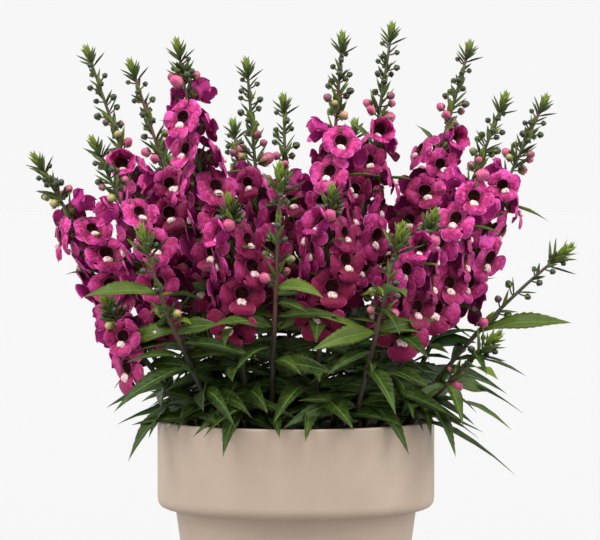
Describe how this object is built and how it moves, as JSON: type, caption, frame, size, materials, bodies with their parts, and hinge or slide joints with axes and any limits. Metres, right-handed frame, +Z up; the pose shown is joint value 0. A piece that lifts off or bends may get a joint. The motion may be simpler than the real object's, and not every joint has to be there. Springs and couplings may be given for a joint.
{
  "type": "potted angelonia",
  "caption": "Bushy bedding plant with upright spikes of magenta two-lipped flowers, budding tips and paired toothed leaves, growing in a tapered pot with a deep collar.",
  "frame": {"origin": "centre of the pot's flat base, where it rests", "axes": "+Z up along the pot's axis, -Y towards the front as pictured, +X to the right"},
  "size_m": [0.2954, 0.2153, 0.3509],
  "materials": {
    "pot": "matte beige moulded plastic",
    "potting_mix": "moist dark peat and bark, loose",
    "leaf": "dark green, slightly glossy leaves and hairy stems",
    "petal": "velvety magenta petals, pale tooth and dark throat"
  },
  "bodies": {
    "root": {"back_left_flowers": "petal", "back_left_shoot": "leaf", "back_mid_left_flowers": "petal", "back_mid_left_shoot": "leaf", "back_mid_right_flowers": "petal", "back_mid_right_shoot": "leaf", "back_right_flowers": "petal", "back_right_shoot": "leaf", "front_centre_flowers": "petal", "front_centre_shoot": "leaf", "front_left_flowers": "petal", "front_left_shoot": "leaf", "front_mid_shoot": "leaf", "front_right_flowers": "petal", "front_right_shoot": "leaf", "front_young_left_shoot": "leaf", "front_young_right_shoot": "leaf", "left_droop_flowers": "petal", "left_droop_shoot": "leaf", "left_low_flowers": "petal", "left_low_shoot": "leaf", "left_mid_flowers": "petal", "left_mid_shoot": "leaf", "left_side_flowers": "petal", "left_side_shoot": "leaf", "left_spike_flowers": "petal", "left_spike_shoot": "leaf", "left_tall_flowers": "petal", "left_tall_shoot": "leaf", "mid_back_flowers": "petal", "mid_back_shoot": "leaf", "mid_left_flowers": "petal", "mid_left_shoot": "leaf", "mid_right_flowers": "petal", "mid_right_shoot": "leaf", "pot": "pot", "right_back_flowers": "petal", "right_back_shoot": "leaf", "right_lateral_shoot": "leaf", "right_leafy_shoot": "leaf", "right_mid_flowers": "petal", "right_mid_shoot": "leaf", "right_side_flowers": "petal", "right_side_shoot": "leaf", "right_tall_flowers": "petal", "right_tall_shoot": "leaf", "soil": "potting_mix"}
  },
  "joints": []
}
